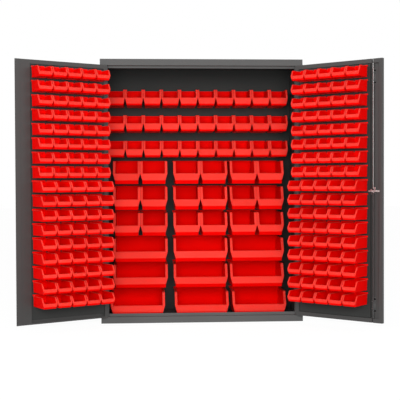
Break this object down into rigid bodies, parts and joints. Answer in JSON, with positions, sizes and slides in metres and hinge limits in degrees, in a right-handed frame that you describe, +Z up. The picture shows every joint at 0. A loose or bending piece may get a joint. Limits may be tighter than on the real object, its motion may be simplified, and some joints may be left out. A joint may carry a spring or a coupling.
{
  "type": "bin cabinet",
  "caption": "Tall two-door steel cabinet standing open, with red plastic hopper bins hooked on its louvered back and doors, and a rod lock on the right door.",
  "frame": {"origin": "on the ground under the middle of the body, on the lower face of the middle floor channel", "axes": "+X to the viewer's right along the width, +Y from the doors to the back, +Z up"},
  "size_m": [2.6004, 1.1783, 1.981],
  "materials": {
    "body_paint": "satin powder coat",
    "inner_paint": "satin powder coat",
    "bin_plastic": "semi-gloss moulded plastic",
    "zinc_steel": "zinc plate",
    "chrome_trim": "bright plate"
  },
  "bodies": {
    "cabinet": {"left_side_panel": "body_paint", "right_side_panel": "body_paint", "back_panel": "inner_paint", "top_panel": "body_paint", "base_pan": "body_paint", "base_channels": "inner_paint", "back_louver_panel": "inner_paint", "frame_hinge_leaves": "body_paint", "hinge_pins": "zinc_steel"},
    "left_door": {"left_door_pan": "body_paint", "left_door_louver_panel": "inner_paint", "left_door_hinge_leaves": "body_paint", "astragal": "body_paint"},
    "right_door": {"right_door_pan": "body_paint", "right_door_louver_panel": "inner_paint", "right_door_hinge_leaves": "body_paint", "handle_plate": "chrome_trim", "rod_guides": "body_paint", "rod_guide_screws": "zinc_steel"},
    "handle": {"door_handle": "chrome_trim", "lock_cylinder": "zinc_steel", "lock_cam": "zinc_steel"},
    "upper_rod": {"upper_lock_rod": "zinc_steel"},
    "lower_rod": {"lower_lock_rod": "zinc_steel"},
    "upper_bins_row_1_body": {"upper_bins_row_1": "bin_plastic"},
    "upper_bins_row_2_body": {"upper_bins_row_2": "bin_plastic"},
    "upper_bins_row_3_body": {"upper_bins_row_3": "bin_plastic"},
    "half_bins_row_1_body": {"half_bins_row_1": "bin_plastic"},
    "half_bins_row_2_body": {"half_bins_row_2": "bin_plastic"},
    "half_bins_row_3_body": {"half_bins_row_3": "bin_plastic"},
    "wide_bins_row_1_body": {"wide_bins_row_1": "bin_plastic"},
    "wide_bins_row_2_body": {"wide_bins_row_2": "bin_plastic"},
    "wide_bins_row_3_body": {"wide_bins_row_3": "bin_plastic"},
    "left_shallow_bins_1_body": {"left_shallow_bins_1": "bin_plastic"},
    "left_shallow_bins_2_body": {"left_shallow_bins_2": "bin_plastic"},
    "left_shallow_bins_3_body": {"left_shallow_bins_3": "bin_plastic"},
    "left_shallow_bins_4_body": {"left_shallow_bins_4": "bin_plastic"},
    "left_deep_bins_1_body": {"left_deep_bins_1": "bin_plastic"},
    "left_deep_bins_2_body": {"left_deep_bins_2": "bin_plastic"},
    "left_deep_bins_3_body": {"left_deep_bins_3": "bin_plastic"},
    "right_shallow_bins_1_body": {"right_shallow_bins_1": "bin_plastic"},
    "right_shallow_bins_2_body": {"right_shallow_bins_2": "bin_plastic"},
    "right_shallow_bins_3_body": {"right_shallow_bins_3": "bin_plastic"},
    "right_shallow_bins_4_body": {"right_shallow_bins_4": "bin_plastic"},
    "right_deep_bins_1_body": {"right_deep_bins_1": "bin_plastic"},
    "right_deep_bins_2_body": {"right_deep_bins_2": "bin_plastic"},
    "right_deep_bins_3_body": {"right_deep_bins_3": "bin_plastic"}
  },
  "joints": [
    {"name": "door_left_swing", "type": "hinge", "parent": "cabinet", "child": "left_door", "pos_m": [-0.7203, -0.3115, 0], "axis": [0, 0, -1], "range_deg": [-150, 30]},
    {"name": "door_right_swing", "type": "hinge", "parent": "cabinet", "child": "right_door", "pos_m": [0.7203, -0.3115, 0], "axis": [0, 0, 1], "range_deg": [-139, 41]},
    {"name": "handle_turn", "type": "hinge", "parent": "right_door", "child": "handle", "pos_m": [1.20528, -0.73308, 0.9905], "axis": [0.6561, 0.7547, 0], "range_deg": [-90, 0]},
    {"name": "rod_upper_slide", "type": "slide", "parent": "right_door", "child": "upper_rod", "axis": [0, 0, 1], "range_m": [0, 0.0198]},
    {"name": "rod_lower_slide", "type": "slide", "parent": "right_door", "child": "lower_rod", "axis": [0, 0, -1], "range_m": [0, 0.0198]},
    {"name": "lift_upper_bins_row_1", "type": "slide", "parent": "cabinet", "child": "upper_bins_row_1_body", "axis": [0, 0, 1], "range_m": [0, 0.01]},
    {"name": "lift_upper_bins_row_2", "type": "slide", "parent": "cabinet", "child": "upper_bins_row_2_body", "axis": [0, 0, 1], "range_m": [0, 0.01]},
    {"name": "lift_upper_bins_row_3", "type": "slide", "parent": "cabinet", "child": "upper_bins_row_3_body", "axis": [0, 0, 1], "range_m": [0, 0.01]},
    {"name": "lift_half_bins_row_1", "type": "slide", "parent": "cabinet", "child": "half_bins_row_1_body", "axis": [0, 0, 1], "range_m": [0, 0.01]},
    {"name": "lift_half_bins_row_2", "type": "slide", "parent": "cabinet", "child": "half_bins_row_2_body", "axis": [0, 0, 1], "range_m": [0, 0.01]},
    {"name": "lift_half_bins_row_3", "type": "slide", "parent": "cabinet", "child": "half_bins_row_3_body", "axis": [0, 0, 1], "range_m": [0, 0.01]},
    {"name": "lift_wide_bins_row_1", "type": "slide", "parent": "cabinet", "child": "wide_bins_row_1_body", "axis": [0, 0, 1], "range_m": [0, 0.01]},
    {"name": "lift_wide_bins_row_2", "type": "slide", "parent": "cabinet", "child": "wide_bins_row_2_body", "axis": [0, 0, 1], "range_m": [0, 0.01]},
    {"name": "lift_wide_bins_row_3", "type": "slide", "parent": "cabinet", "child": "wide_bins_row_3_body", "axis": [0, 0, 1], "range_m": [0, 0.01]},
    {"name": "lift_left_shallow_bins_1", "type": "slide", "parent": "left_door", "child": "left_shallow_bins_1_body", "axis": [0, 0, 1], "range_m": [0, 0.01]},
    {"name": "lift_left_shallow_bins_2", "type": "slide", "parent": "left_door", "child": "left_shallow_bins_2_body", "axis": [0, 0, 1], "range_m": [0, 0.01]},
    {"name": "lift_left_shallow_bins_3", "type": "slide", "parent": "left_door", "child": "left_shallow_bins_3_body", "axis": [0, 0, 1], "range_m": [0, 0.01]},
    {"name": "lift_left_shallow_bins_4", "type": "slide", "parent": "left_door", "child": "left_shallow_bins_4_body", "axis": [0, 0, 1], "range_m": [0, 0.01]},
    {"name": "lift_left_deep_bins_1", "type": "slide", "parent": "left_door", "child": "left_deep_bins_1_body", "axis": [0, 0, 1], "range_m": [0, 0.01]},
    {"name": "lift_left_deep_bins_2", "type": "slide", "parent": "left_door", "child": "left_deep_bins_2_body", "axis": [0, 0, 1], "range_m": [0, 0.01]},
    {"name": "lift_left_deep_bins_3", "type": "slide", "parent": "left_door", "child": "left_deep_bins_3_body", "axis": [0, 0, 1], "range_m": [0, 0.01]},
    {"name": "lift_right_shallow_bins_1", "type": "slide", "parent": "right_door", "child": "right_shallow_bins_1_body", "axis": [0, 0, 1], "range_m": [0, 0.01]},
    {"name": "lift_right_shallow_bins_2", "type": "slide", "parent": "right_door", "child": "right_shallow_bins_2_body", "axis": [0, 0, 1], "range_m": [0, 0.01]},
    {"name": "lift_right_shallow_bins_3", "type": "slide", "parent": "right_door", "child": "right_shallow_bins_3_body", "axis": [0, 0, 1], "range_m": [0, 0.01]},
    {"name": "lift_right_shallow_bins_4", "type": "slide", "parent": "right_door", "child": "right_shallow_bins_4_body", "axis": [0, 0, 1], "range_m": [0, 0.01]},
    {"name": "lift_right_deep_bins_1", "type": "slide", "parent": "right_door", "child": "right_deep_bins_1_body", "axis": [0, 0, 1], "range_m": [0, 0.01]},
    {"name": "lift_right_deep_bins_2", "type": "slide", "parent": "right_door", "child": "right_deep_bins_2_body", "axis": [0, 0, 1], "range_m": [0, 0.01]},
    {"name": "lift_right_deep_bins_3", "type": "slide", "parent": "right_door", "child": "right_deep_bins_3_body", "axis": [0, 0, 1], "range_m": [0, 0.01]}
  ],
  "couplings": [
    {"joint": "rod_upper_slide", "follows": "handle_turn", "m_per_rad": -0.012604},
    {"joint": "rod_lower_slide", "follows": "handle_turn", "m_per_rad": -0.012604}
  ]
}
